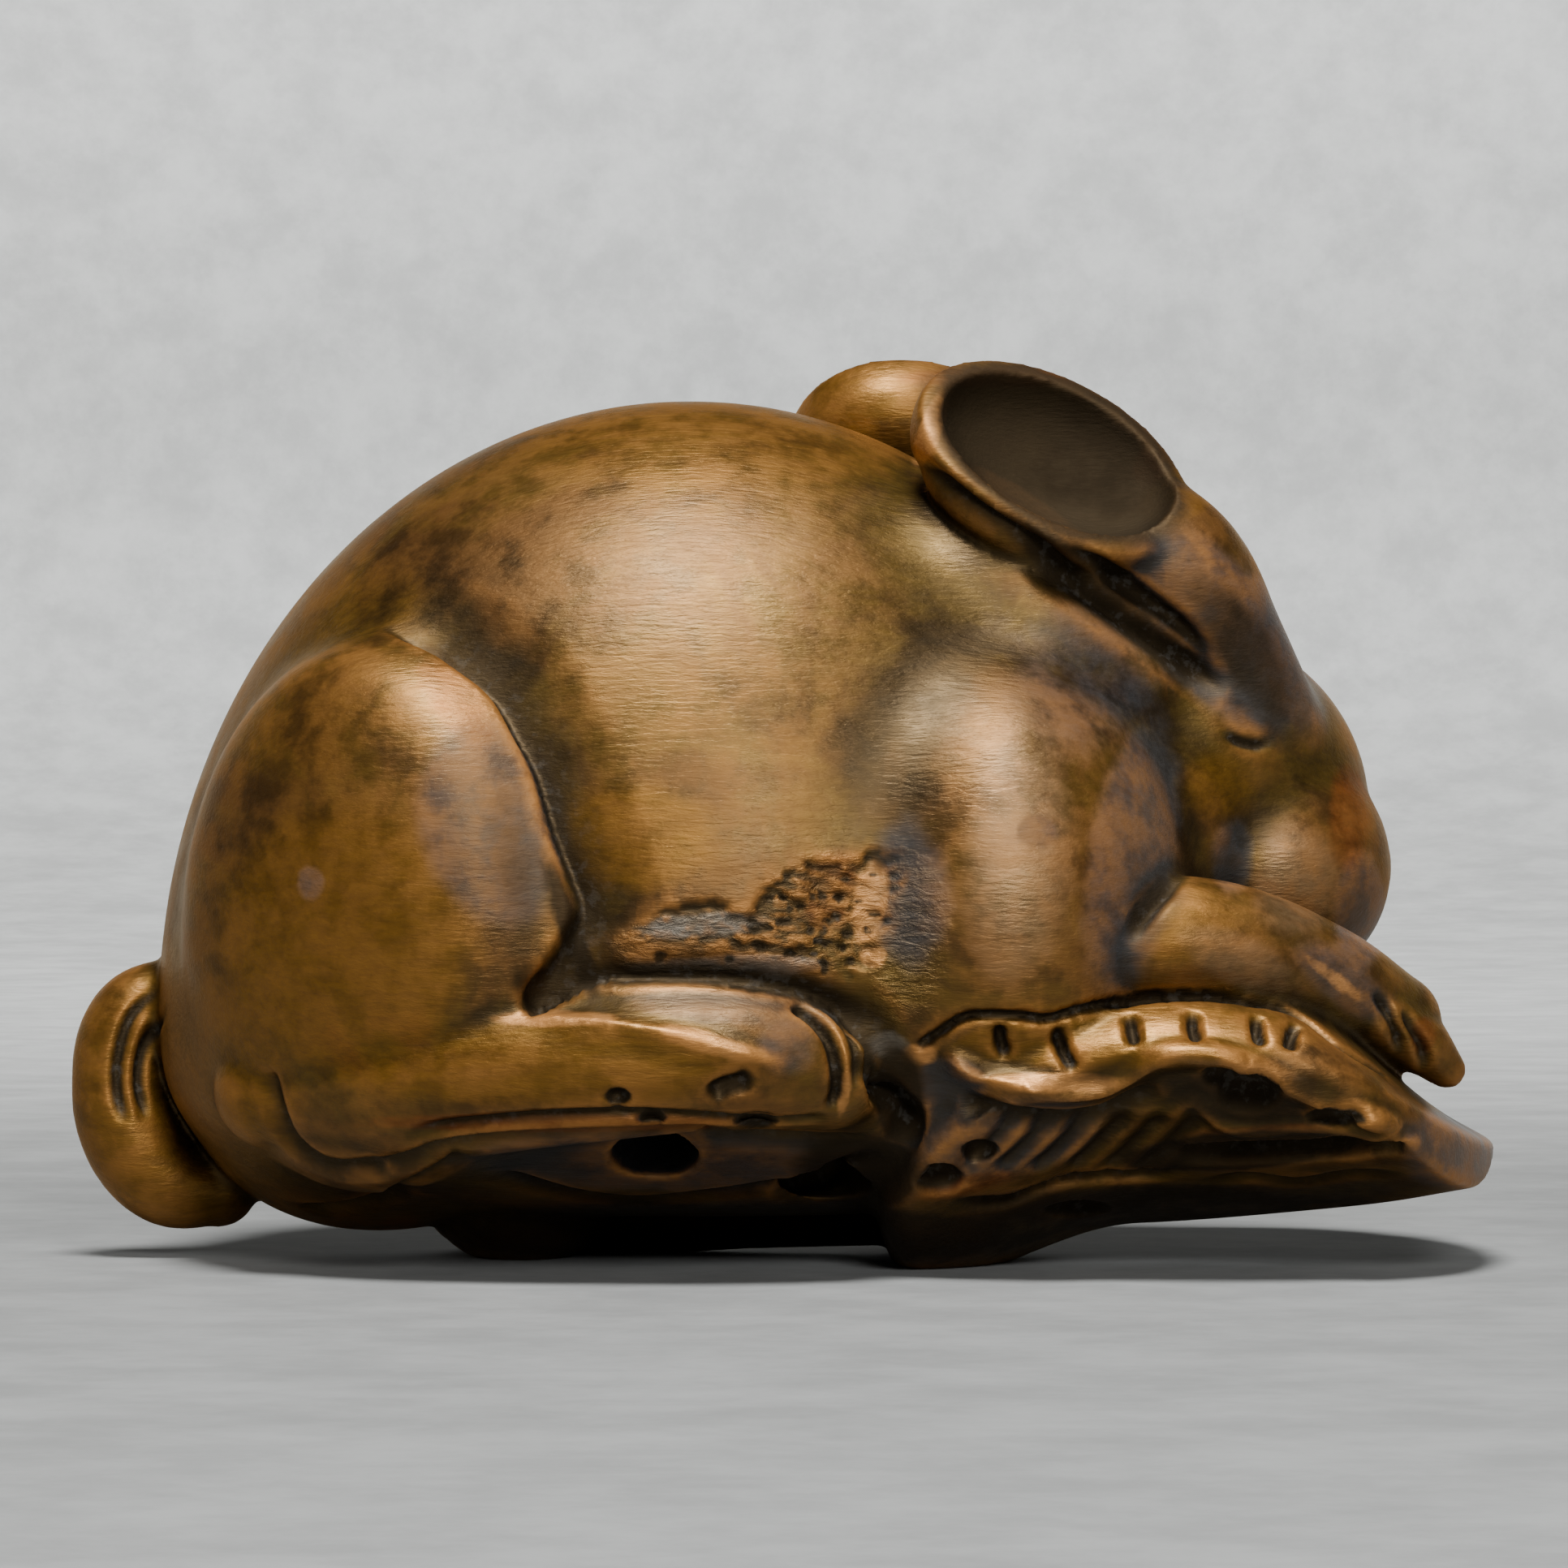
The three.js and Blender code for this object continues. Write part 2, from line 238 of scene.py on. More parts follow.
# Limbs and tail: each station is x, y, z and the radius there.
limbs = {
    "hindFoot": [
        (-15.0, -6.8, 5.6, 1.9),
        (-11.0, -9.0, 5.9, 2.5),
        (-6.0, -10.6, 6.4, 2.3),
        (-1.5, -10.9, 6.7, 2.2),
        (1.4, -10.2, 6.5, 2.0),
    ],
    "hindToe": [(0.6, -9.6, 7.4, 1.3), (2.0, -9.5, 6.8, 1.5), (2.2, -9.2, 5.8, 1.4)],
    "tuckedFoot": [
        (-9.4, 3.6, 1.9, 1.9), (-6.0, 3.2, 1.8, 2.0), (-1.0, 2.6, 2.0, 1.9), (4.4, 1.6, 2.3, 2.0),
    ],
    "tuckedHeel": ((-8.0, 1.2, 2.0), (3.0, 4.2, 2.35)),
    "arm": [
        (7.0, -7.9, 9.6, 2.2),
        (10.0, -8.6, 9.9, 2.1),
        (13.0, -8.3, 9.8, 2.0),
        (16.2, -7.0, 8.7, 1.8),
        (18.4, -5.7, 7.5, 1.5),
    ],
    "tail": [
        (-18.4, 0.4, 8.2, 1.2),
        (-19.9, 0.2, 7.4, 1.45),
        (-20.4, 0.2, 5.4, 1.5),
        (-19.9, 0.4, 3.5, 1.6),
        (-18.9, 0.6, 2.4, 1.5),
        (-17.4, 0.8, 2.1, 1.2),
    ],
}


def toeStations(step):
    return [
        (17.9, -6.0 + 1.1 * step, 7.6, 0.95),
        (19.3, -5.2 + 1.15 * step, 6.9 - 0.15 * abs(step), 0.9),
        (20.0, -4.9 + 1.15 * step, 6.1, 0.6),
    ]


def makeLimbs():
    paths = [limbs["hindFoot"], limbs["hindToe"], limbs["tuckedFoot"], limbs["tail"], limbs["arm"]]
    paths.append(otherSide(limbs["arm"]))
    for step in (-1, 0, 1):
        paths += [toeStations(step), otherSide(toeStations(step))]
    return [addLimb(path) for path in paths] + [addLobe(*limbs["tuckedHeel"])]


# The ears are cups turned back from the brow, on roots that run down into it.
ears = {
    "length": 4.5,
    "width": 3.6,
    "depth": 2.6,
    "wall": 0.7,
    "near": {"at": (8.3, -5.2, 24.5), "long": (0.88, 0, -0.47), "open": (0.33, -0.7, 0.63)},
    "far": {"at": (4.5, 6.0, 25.0), "long": (0.84, 0.36, -0.40), "open": (-0.05, 0.8, 0.6)},
    "nearRoot": [
        (7.6, -3.4, 23.2, 1.8),
        (9.8, -3.7, 22.4, 2.4),
        (11.8, -3.8, 21.0, 2.5),
        (13.2, -3.2, 18.7, 2.3),
        (14.8, -2.5, 16.0, 2.0),
    ],
    "farRoot": [
        (4.0, 4.6, 22.4, 2.4),
        (6.8, 4.4, 22.0, 3.0),
        (9.8, 3.8, 20.2, 3.0),
        (12.4, 3.8, 17.2, 2.4),
        (14.2, 3.6, 15.2, 2.2),
    ],
}


def turnToEar(block, ear):
    x = Vector(ear["long"]).normalized()
    z = (Vector(ear["open"]) - x * x.dot(Vector(ear["open"]))).normalized()
    turn = Matrix((x, z.cross(x), z)).transposed().to_4x4()
    block.data.transform(Matrix.Translation(Vector(ear["at"]) * mm) @ turn)
    return block


def makeEarCup(ear):
    ball = addBall(64)
    x, y, z = readPoints(ball).T
    out = np.hypot(x, y)
    full = np.where(z < 0, out ** 0.7 / np.maximum(out, 1e-6), 1)  # a full-bellied bowl with a flat top
    depth = np.where(z < 0, -ears["depth"] * np.abs(z) ** 0.7, 0.35 * z)
    writePoints(ball, np.stack([x * full * ears["length"], y * full * ears["width"], depth], axis=1))
    return turnToEar(ball, ear)


def makeEarHollow(ear):
    size = [ears["length"] - ears["wall"], ears["width"] - ears["wall"], ears["depth"] - 0.5]
    return turnToEar(addLobe((0, 0, 0.45), size), ear)


# The abalone shell under the puppy.
shell = {
    "x": 12.2,
    "halfLength": 9.75,
    "halfWidth": 11.6,
    "keelX": 7.7,  # where the hull meets the ground
}


def step(x, low, high):
    t = np.clip((x - low) / (high - low), 0, 1)
    return t * t * (3 - 2 * t)


def makeShell():
    ball = addBall(160)
    px, py, pz = readPoints(ball).T
    out = np.hypot(px, py)
    cos, sin = px / np.maximum(out, 1e-6), py / np.maximum(out, 1e-6)
    power = np.where(cos < 0, 0.55, 0.55 + 0.35 * cos)
    edge = shell["x"] + shell["halfLength"] * np.sign(cos) * np.abs(cos) ** power
    x = shell["keelX"] + (edge - shell["keelX"]) * out
    y = shell["halfWidth"] * out * np.sign(sin) * np.abs(sin) ** power
    rim = 6.5 + 0.35 * np.sin(0.62 * (x - 9)) - 3.3 * step(x, 15.5, 22.5)
    keel = -0.5 + 1.6 * step(x, 5, 11) + 0.6 * step(x, 10, 20)
    rise = np.where(pz > 0, 3.2 * (1 - 0.75 * step(x, 14, 21)) * pz, 0)
    full = (1 - np.abs(py) ** 2.0) * (1 - np.abs(px) ** 12)  # flat along its length, rounded across
    fall = np.where(pz < 0, (rim - keel) * full, 0)
    writePoints(ball, np.stack([x, y, rim + rise - fall], axis=1))
    return ball


# What is cut out of the block.
cuts = {
    "cordHole": 1.3,  # radius
    "channel": [
        (-3.7, -10.6, 1.6), (-3.4, -7.4, 4.6), (-1.2, -4.4, 6.4), (1.0, -5.0, 4.8), (1.5, -7.6, 1.2),
    ],
}


def makeCutters():
    bend = addLimb([(x, y, z, cuts["cordHole"]) for x, y, z in cuts["channel"]])
    channel = fuse([bend], "channel", 0.1, 2)
    bpy.ops.object.select_all(action="DESELECT")
    bpy.ops.mesh.primitive_cube_add(size=1, location=(0, 0, -10 * mm), scale=(80 * mm, 60 * mm, 20 * mm))
    ground = bpy.context.object
    bpy.ops.object.transform_apply(location=True, rotation=True, scale=True)
    return [makeEarHollow(ears["near"]), makeEarHollow(ears["far"]), channel, ground]


def cutAway(block, cutter):
    useModifier(block, "BOOLEAN", operation="DIFFERENCE", object=cutter, solver="EXACT")
    bpy.data.objects.remove(cutter)


# Roughing out the whole carving from one block: voxel sizes, and rounds of smoothing after each.
roughing = {
    "headVoxel": 0.25,
    "headRounds": 20,
    "voxel": 0.13,
    "rounds": 4,
    "softening": 2,
    "triangles": 196000,
}


def roughOut():
    trunk = makeTrunk()
    print("trunk fused")
    blocks = [trunk, addLimb(ears["nearRoot"]), addLimb(ears["farRoot"]), addLobe(*head["crown"])]
    blocks += bothSides(*body["throat"]) + makeHeadBlocks()
    withHead = fuse(blocks, "withHead", roughing["headVoxel"], roughing["headRounds"])
    print("head fused")
    parts = makeLimbs() + [makeEarCup(ears["near"]), makeEarCup(ears["far"])]
    parts += [addLobe(onHead(head["nose"][0]), head["nose"][1], head["yaw"], head["pitch"]), makeShell()]
    carving = fuse([withHead] + parts, "carving", roughing["voxel"], roughing["rounds"])
    print("limbs, ears and shell fused")
    for cutter in makeCutters():
        cutAway(carving, cutter)
    carving = fuse([carving], "carving", roughing["voxel"], 3)
    print("hollows cut,", len(carving.data.vertices), "points")
    return carving


carving = roughOut()

# Lines are drawn on the upright plane through the middle, as seen from one side, and land on the
# surface that lies behind them.
sights = {
    "right": lambda a, b: (Vector(viewer["at"]), Vector((a, 0, b))),
    "left": lambda a, b: (Vector((a, 200, b)), Vector((a, 0, b))),
    "front": lambda a, b: (Vector((200, a, b)), Vector((0, a, b))),
}
planeAxes = {"right": (0, 2), "left": (0, 2), "front": (1, 2)}


def startSkin(item):
    selectOnly(item)
    points = readPoints(item)
    return {
        "item": item,
        "points": points,
        "normals": readNormals(item),
        "dirt": np.zeros(len(points)),
        "tree": BVHTree.FromObject(item, bpy.context.evaluated_depsgraph_get()),
    }


def landOn(skin, place, side):
    start, through = sights[side](*place)
    toward = (through - start).normalized()
    hit = skin["tree"].ray_cast(start * mm, toward)[0]
    if hit is None:
        hit = skin["tree"].find_nearest(through * mm)[0]
    return np.array(hit) / mm, np.array(toward)


def smoothLine(places, spacing=0.22):
    knots = np.array([places[0]] + list(places) + [places[-1]], float)
    line = []
    for a, b, c, d in zip(knots, knots[1:], knots[2:], knots[3:]):
        count = max(2, int(np.linalg.norm(c - b) / spacing))
        for t in np.arange(count) / count:
            bend = (2 * a - 5 * b + 4 * c - d) * t ** 2 + (3 * b - a - 3 * c + d) * t ** 3
            line.append(0.5 * (2 * b + (c - a) * t + bend))
    line.append(knots[-1])
    return np.array(line)


def nearLine(skin, line, reach):  # points near the line, how far off, on which side, and how far along
    low, high = line.min(0) - reach, line.max(0) + reach
    index = np.nonzero(np.all((skin["points"] > low) & (skin["points"] < high), axis=1))[0]
    points = skin["points"][index]
    best = np.full(len(index), 1e9)
    side = np.zeros(len(index))
    along = np.zeros(len(index))
    for i in range(len(line) - 1):
        span = line[i + 1] - line[i]
        t = np.clip((points - line[i]) @ span / max(span @ span, 1e-12), 0, 1)
        gap = points - line[i] - t[:, None] * span
        distance = np.linalg.norm(gap, axis=1)
        closer = distance < best
        best[closer] = distance[closer]
        left = np.einsum("ij,ij->i", np.cross(skin["normals"][index], span), gap)
        side[closer] = np.sign(left[closer])
        along[closer] = ((i + t) / (len(line) - 1))[closer]
    near = best < reach
    return index[near], best[near], side[near], along[near]


# width is on the line's right hand and leftWidth on its left, looking at the surface along the line
def cutLine(skin, places, width, depth, side="right", leftWidth=None, fade=0.12, power=1.4, dirt=1.0):
    line = np.array([landOn(skin, place, side)[0] for place in smoothLine(places)])
    leftWidth = leftWidth or width
    index, gap, hand, along = nearLine(skin, line, max(width, leftWidth))
    reach = np.where(hand > 0, leftWidth, width)
    share = np.clip(1 - gap / reach, 0, 1) ** power
    ends = step(along, 0, fade) * step(1 - along, 0, fade) if fade else 1
    skin["points"][index] -= skin["normals"][index] * (depth * share * ends)[:, None]
    tint = dirt * np.clip(share * ends * 1.3, 0, 1)
    skin["dirt"][index] = np.maximum(skin["dirt"][index], tint)


def pushSpot(skin, place, size, height, side="right", power=0.8, dirt=0.9):
    centre, toward = landOn(skin, place, side)
    index = np.nonzero(np.linalg.norm(skin["points"] - centre, axis=1) < 1.6 * max(size))[0]
    index = index[skin["normals"][index] @ toward < 0.1]
    across, up = planeAxes[side]
    a = skin["points"][index, across] - centre[across]
    b = skin["points"][index, up] - centre[up]
    reach = (a / size[0]) ** 2 + (b / size[1]) ** 2
    share = np.clip(1 - reach, 0, 1) ** power
    skin["points"][index] += skin["normals"][index] * (height * share)[:, None]
    skin["dirt"][index] = np.maximum(skin["dirt"][index], dirt * np.clip(2 * share, 0, 1))


def freshen(skin):
    writePoints(skin["item"], skin["points"])
    skin["normals"] = readNormals(skin["item"])


# What is carved into the right flank, which is the show side.
flank = {
    "thighFold": [
        (-12.3, 19.5), (-10.75, 18.9), (-9.8, 18.3), (-8.8, 17.5), (-8.1, 16.3), (-7.5, 15.1),
        (-6.95, 13.2), (-6.45, 11.7), (-6.2, 10.7), (-6.8, 9.4), (-7.85, 7.55),
    ],
    "thighGroove": [
        (-8.4, 16.9), (-7.5, 15.1), (-6.95, 13.2), (-6.45, 11.7), (-6.2, 10.6), (-6.8, 9.4), (-7.8, 7.6),
    ],
    "footTop": [
        (-7.9, 7.5), (-6.7, 8.15), (-5.7, 8.5), (-4.5, 8.65), (-2.3, 8.65), (-0.4, 8.4), (1.0, 8.05),
        (2.2, 7.4), (2.85, 6.6), (3.1, 5.8), (2.95, 4.6),
    ],
    "toeNick": [(-2.3, 5.0), (-1.7, 5.35), (-1.2, 5.5), (-0.85, 5.85)],
    "footCrest": [
        (-7.8, 7.5), (-6.4, 7.35), (-5.0, 7.15), (-3.4, 6.9), (-1.9, 6.55), (-0.6, 6.2), (0.5, 5.9),
    ],
    "secondToe": [(1.4, 7.9), (2.1, 7.2), (2.4, 6.3), (2.35, 5.4), (2.1, 4.8)],
    "toe": [(0.3, 7.85), (1.05, 7.4), (1.55, 6.75), (1.77, 5.9), (1.77, 5.05), (1.5, 4.5)],
    "soleGroove": [
        (-11.7, 3.7), (-10.6, 4.0), (-8.8, 4.2), (-6.7, 4.35), (-4.4, 4.4), (-2.3, 4.3), (-0.1, 4.2),
        (1.6, 4.35),
    ],
    "soleRim": [
        (-13.4, 2.95), (-12.1, 3.0), (-10.4, 3.5), (-8.8, 3.72), (-6.7, 3.85), (-4.4, 3.95), (-2.3, 4.0),
        (-0.9, 3.85), (1.3, 3.75), (2.8, 3.8),
    ],
    "heel": [
        (-15.7, 5.85), (-15.55, 5.05), (-15.25, 4.15), (-14.8, 3.5), (-14.1, 3.0), (-13.3, 2.85),
        (-12.2, 3.0),
    ],
    "underHeel": [(-14.9, 1.55), (-13.3, 1.65), (-11.9, 2.1), (-10.4, 2.85), (-9.9, 3.3)],
    "belly": [(-8.8, 2.7), (-6.7, 2.05), (-4.5, 1.8), (-2.3, 1.95), (-0.1, 2.25), (1.3, 2.6), (3.2, 3.3)],
    "pawClefts": [
        [(18.3, 8.3), (18.8, 7.6), (19.1, 6.9), (19.2, 6.2)],
        [(19.2, 7.8), (19.6, 7.1), (19.9, 6.4), (19.9, 5.7)],
    ],
    "armCrease": [(10.8, 9.7), (11.1, 10.2), (11.5, 10.8), (12.0, 11.4), (12.5, 11.9)],
    "earCrease": [
        (4.0, 24.7), (5.2, 23.8), (6.2, 23.1), (7.2, 22.5), (8.1, 21.8), (9.05, 21.0), (10.1, 20.25),
        (11.0, 19.6), (12.0, 18.9), (13.1, 18.1), (13.9, 17.4),
    ],
    "earSlot": [
        (8.7, 22.1), (9.7, 21.5), (10.6, 20.9), (11.4, 20.3), (12.3, 19.6), (12.9, 19.0), (13.5, 18.3),
    ],
    "eye": [(13.6, 16.35), (14.1, 16.0), (14.8, 15.85), (15.4, 16.0)],
    "chips": [((-5.0, 4.95), (0.4, 0.3)), ((-3.95, 4.3), (0.45, 0.3)), ((-0.7, 4.2), (0.7, 0.3))],
}


def carveFlank(skin):
    cutLine(skin, flank["thighFold"], 0.25, 0.75, leftWidth=2.6, power=1.7, dirt=0.5)
    cutLine(skin, flank["thighGroove"], 0.25, 0.45, leftWidth=0.5, power=1.0, fade=0.2)
    freshen(skin)
    cutLine(skin, flank["footTop"], 0.3, 0.6, leftWidth=1.3, power=1.5, fade=0.06, dirt=0.7)
    cutLine(skin, flank["soleGroove"], 0.32, 0.4, leftWidth=0.32, power=0.9, dirt=0.6)
    cutLine(skin, flank["soleRim"], 0.9, 0.45, leftWidth=0.2, power=1.3, dirt=0.5)
    cutLine(skin, flank["heel"], 0.9, 0.45, leftWidth=0.25, power=1.4, dirt=0.4)
    cutLine(skin, flank["underHeel"], 0.9, 0.35, leftWidth=0.3, power=1.5, dirt=0.3)
    cutLine(skin, flank["toe"], 0.28, 0.45, leftWidth=0.3, power=1.0)
    cutLine(skin, flank["belly"], 0.9, 0.5, leftWidth=0.5, power=1.3, dirt=0.6)
    freshen(skin)
    for cleft in flank["pawClefts"]:
        cutLine(skin, cleft, 0.25, 0.35, leftWidth=0.35, power=1.0, fade=0.3, dirt=0.6)
    cutLine(skin, flank["armCrease"], 0.35, 0.4, leftWidth=0.5, power=1.2, fade=0.3, dirt=0.6)
    cutLine(skin, flank["earCrease"], 1.0, 0.6, leftWidth=0.6, power=1.5, dirt=0.75)
    cutLine(skin, flank["earSlot"], 0.4, 0.55, leftWidth=0.4, power=1.0, fade=0.3)
    cutLine(skin, flank["eye"], 0.25, 0.22, leftWidth=0.3, power=1.2, fade=0.35)
    for place, size in flank["chips"]:
        pushSpot(skin, place, size, -0.4)
    cutLine(skin, flank["toeNick"], 0.5, 0.5, leftWidth=0.3, power=0.8, fade=0.3)
    cutLine(skin, flank["footCrest"], 0.9, -0.28, leftWidth=0.6, power=1.8, fade=0.2, dirt=0)
    cutLine(skin, flank["secondToe"], 0.28, 0.3, leftWidth=0.4, power=1.0, fade=0.3, dirt=0.6)
    freshen(skin)


# The engraved fur behind the elbow.
fur = {
    "outline": [
        (-5.3, 8.7), (-5.5, 9.9), (-3.9, 10.6), (-2.4, 10.9), (-0.8, 10.6), (0.3, 12.0), (1.3, 12.3),
        (2.3, 12.2), (3.0, 12.6), (3.6, 12.1), (3.3, 11.2), (2.9, 10.2), (2.9, 9.3), (2.2, 8.5),
        (-1.0, 8.85), (-4.1, 8.75),
    ],
    "strokes": 320,
    "pits": 60,
    "seed": 5,
}


def insideOutline(x, z, outline):
    inside = False
    for (ax, az), (bx, bz) in zip(outline, outline[1:] + outline[:1]):
        if (az > z) != (bz > z) and x < (bx - ax) * (z - az) / (bz - az) + ax:
            inside = not inside
    return inside


def carveFur(skin):
    chance = np.random.default_rng(fur["seed"])
    places = []
    while len(places) < fur["strokes"] + fur["pits"]:
        x, z = chance.uniform(-5.6, 3.7), chance.uniform(8.4, 12.7)
        if insideOutline(x, z, fur["outline"]):
            places.append((x, z))
    for x, z in places[:fur["strokes"]]:
        length, slope = chance.uniform(0.5, 1.2), 0.28 * math.sin(0.8 * (x + 5.5)) + chance.normal(0, 0.16)
        forward, up = length / 2, length * slope / 2
        line = [(x - forward, z - up), (x, z + 0.04), (x + forward, z + up)]
        cutLine(skin, line, 0.15, chance.uniform(0.08, 0.2), leftWidth=0.15, power=0.8, fade=0.4, dirt=0.12)
    for x, z in places[fur["strokes"]:]:
        size = chance.uniform(0.12, 0.2)
        if x > -1 or z < 9.6:  # none on the upper rear part
            pushSpot(skin, (x, z), (size, size * 0.8), -0.18, dirt=0.6)
    freshen(skin)


# The shell's own carving.
shellCarving = {
    "topEdge": [
        (4.2, 6.45), (4.95, 6.95), (5.8, 7.44), (7.3, 7.47), (8.3, 7.37), (9.25, 7.63), (10.5, 7.9),
        (12.1, 8.09), (13.4, 8.09), (14.4, 7.92), (15.35, 7.76), (16.3, 7.35), (17.3, 6.56), (18.1, 6.04),
        (18.8, 5.6),
    ],
    "ridge": [
        (4.9, 6.5), (5.9, 5.9), (7.0, 5.45), (8.3, 5.25), (9.8, 5.35), (10.7, 5.75), (11.6, 6.25),
        (12.6, 6.4), (13.8, 6.25), (15.2, 5.7), (16.6, 5.1), (18.0, 4.5), (19.4, 3.95),
    ],
    "underRidge": [(5.5, 4.9), (7.0, 4.5), (8.5, 4.3), (10.0, 4.5), (11.0, 5.0), (11.8, 5.3)],
    "farRidge": [
        (11.6, 3.9), (12.2, 4.5), (12.8, 4.9), (13.6, 4.2), (14.6, 3.95), (16.2, 4.1), (18.0, 3.95),
        (20.0, 3.4),
    ],
    "mouth": [(11.7, 3.1), (13.2, 3.25), (14.7, 3.3), (16.5, 3.35), (18.0, 3.5), (19.8, 3.65)],
    "lowerMouth": [(5.2, 1.7), (6.9, 1.75), (8.0, 2.1), (8.9, 2.4), (10.3, 2.52), (11.9, 2.6), (12.6, 3.0)],
    "belowMouth": [(12.8, 2.3), (14.4, 2.5), (16.0, 2.35), (17.8, 2.6), (19.4, 2.6)],
    "crevice": [(2.5, 6.3), (3.0, 5.7), (3.3, 5.0), (3.9, 4.4), (3.7, 3.5)],
    "flutes": 6,
    "hollows": [
        ((14.5, 5.05), (0.95, 0.65), -0.7), ((13.6, 5.6), (0.55, 0.4), -0.45),
        ((4.95, 2.4), (0.8, 0.5), -0.8), ((6.2, 3.3), (0.6, 0.35), -0.35),
        ((17.2, 4.35), (0.9, 0.3), -0.35), ((9.2, 1.5), (1.1, 0.3), -0.3),
    ],
    "holes": [
        [(6.8, 7.3), (6.85, 6.7), (7.05, 6.1)],
        [(8.65, 7.25), (8.75, 6.5), (9.2, 5.7)],
        [(10.85, 7.6), (10.9, 7.1), (11.05, 6.5)],
        [(12.8, 7.7), (12.8, 7.2), (12.95, 6.6)],
        [(14.8, 7.55), (14.8, 7.1), (14.95, 6.5)],
        [(16.0, 7.3), (15.85, 6.85), (15.8, 6.4)],
    ],
}


def carveShell(skin):
    cutLine(skin, shellCarving["topEdge"], 0.2, 0.45, leftWidth=0.2, power=0.9, fade=0.03, dirt=0.9)
    cutLine(skin, shellCarving["ridge"], 0.95, -0.55, leftWidth=0.5, power=1.6, fade=0.08, dirt=0)
    freshen(skin)
    for hole in shellCarving["holes"]:
        cutLine(skin, hole, 0.26, 0.55, leftWidth=0.22, power=0.7, fade=0.35)
    cutLine(skin, shellCarving["underRidge"], 0.9, 0.4, leftWidth=0.45, power=1.2, dirt=0.6)
    for i in range(shellCarving["flutes"]):
        a = 5.6 + 1.1 * i
        flute = [(a, 2.6), (a + 0.7, 3.15), (a + 1.3, 3.75), (a + 2.1, 4.5)]
        cutLine(skin, flute, 0.45, 0.34, leftWidth=0.6, power=1.1, fade=0.25, dirt=0.3)
    cutLine(skin, shellCarving["farRidge"], 0.5, -0.3, leftWidth=0.45, power=1.5, fade=0.15, dirt=0)
    freshen(skin)
    cutLine(skin, shellCarving["mouth"], 0.75, 1.5, leftWidth=0.5, power=0.6, fade=0.35)
    cutLine(skin, shellCarving["lowerMouth"], 0.5, 0.9, leftWidth=0.3, power=0.8, fade=0.3)
    cutLine(skin, shellCarving["belowMouth"], 0.5, 0.35, leftWidth=0.35, power=1.1, fade=0.3, dirt=0.5)
    cutLine(skin, shellCarving["crevice"], 0.5, 1.0, leftWidth=0.6, power=0.9, fade=0.25)
    for place, size, depth in shellCarving["hollows"]:
        pushSpot(skin, place, size, depth, power=0.9)
    freshen(skin)


# The other sides, plainer than the show side. The face's places are seen from the front.
others = {
    "lips": [
        [(2.8, 8.3), (2.9, 7.6), (2.7, 7.0), (1.6, 6.6), (0.3, 7.0), (-0.9, 7.9)],
        [(2.9, 7.1), (3.9, 6.7), (5.0, 7.2)],
    ],
    "nostrils": [(2.2, 9.1), (3.5, 9.1)],
    "leftEye": [(13.2, 15.7), (14.0, 15.2), (14.9, 15.3)],
    "tailCurl": [(-19.1, 8.4), (-20.1, 7.4), (-20.5, 5.6), (-20.2, 4.0)],
    "tailCurlInner": [(-18.9, 7.6), (-19.6, 6.6), (-19.8, 5.4), (-19.5, 4.2)],
}


def carveOthers(skin):
    cutLine(skin, flank["thighFold"], 2.6, 0.65, side="left", leftWidth=0.25, power=1.7, dirt=0.5)
    cutLine(skin, flank["thighGroove"], 0.45, 0.35, side="left", leftWidth=0.25, power=1.0, fade=0.2)
    cutLine(skin, others["leftEye"], 0.25, 0.22, side="left", leftWidth=0.3, power=1.2, fade=0.35)
    for line in others["lips"]:
        cutLine(skin, line, 0.3, 0.3, side="front", leftWidth=0.3, power=1.1, fade=0.2, dirt=0.8)
    for place in others["nostrils"]:
        pushSpot(skin, place, (0.3, 0.25), -0.3, side="front", power=0.9)
    for line in ("tailCurl", "tailCurlInner"):
        for side in ("right", "left"):
            cutLine(skin, others[line], 0.3, 0.28, side=side, leftWidth=0.3, power=1.1, fade=0.25, dirt=0.8)
    freshen(skin)
    for i in range(1, 15):  # the shell's ribs run down its far side
        a = 4.6 + 1.05 * i
        rib = [(a, 1.6), (a + 0.5, 3.4), (a + 0.2, 5.2)]
        cutLine(skin, rib, 0.4, 0.2, side="left", leftWidth=0.5, power=1.2, fade=0.3, dirt=0.4)
    freshen(skin)


skin = startSkin(carving)
carveFlank(skin)
print("right flank carved")
carveFur(skin)
print("fur engraved")
carveShell(skin)
print("shell carved")
carveOthers(skin)
print("other sides carved")


def finishSkin(skin):
    item = skin["item"]
    useModifier(item, "SMOOTH", factor=0.5, iterations=roughing["softening"])
    points = readPoints(item)
    points[:, 2] = np.maximum(points[:, 2], 0)
    writePoints(item, points)
    ratio = roughing["triangles"] / (2 * len(item.data.polygons))
    useModifier(item, "DECIMATE", ratio=ratio)
    lookup = KDTree(len(points))
    for i, place in enumerate(points):
        lookup.insert(place, i)
    lookup.balance()
    return skin["dirt"][[lookup.find(place)[1] for place in readPoints(item)]]


dirt = finishSkin(skin)
print("softened and thinned to", len(carving.data.polygons), "faces")

# Wear and stain are kept as attributes of the surface, along with painted shade in the hollows and under
# the carving, and painted highlights.


def addLayer(name, values):
    layer = carving.data.attributes.new(name, "FLOAT", "POINT")
    layer.data.foreach_set("value", values.astype(np.float32))


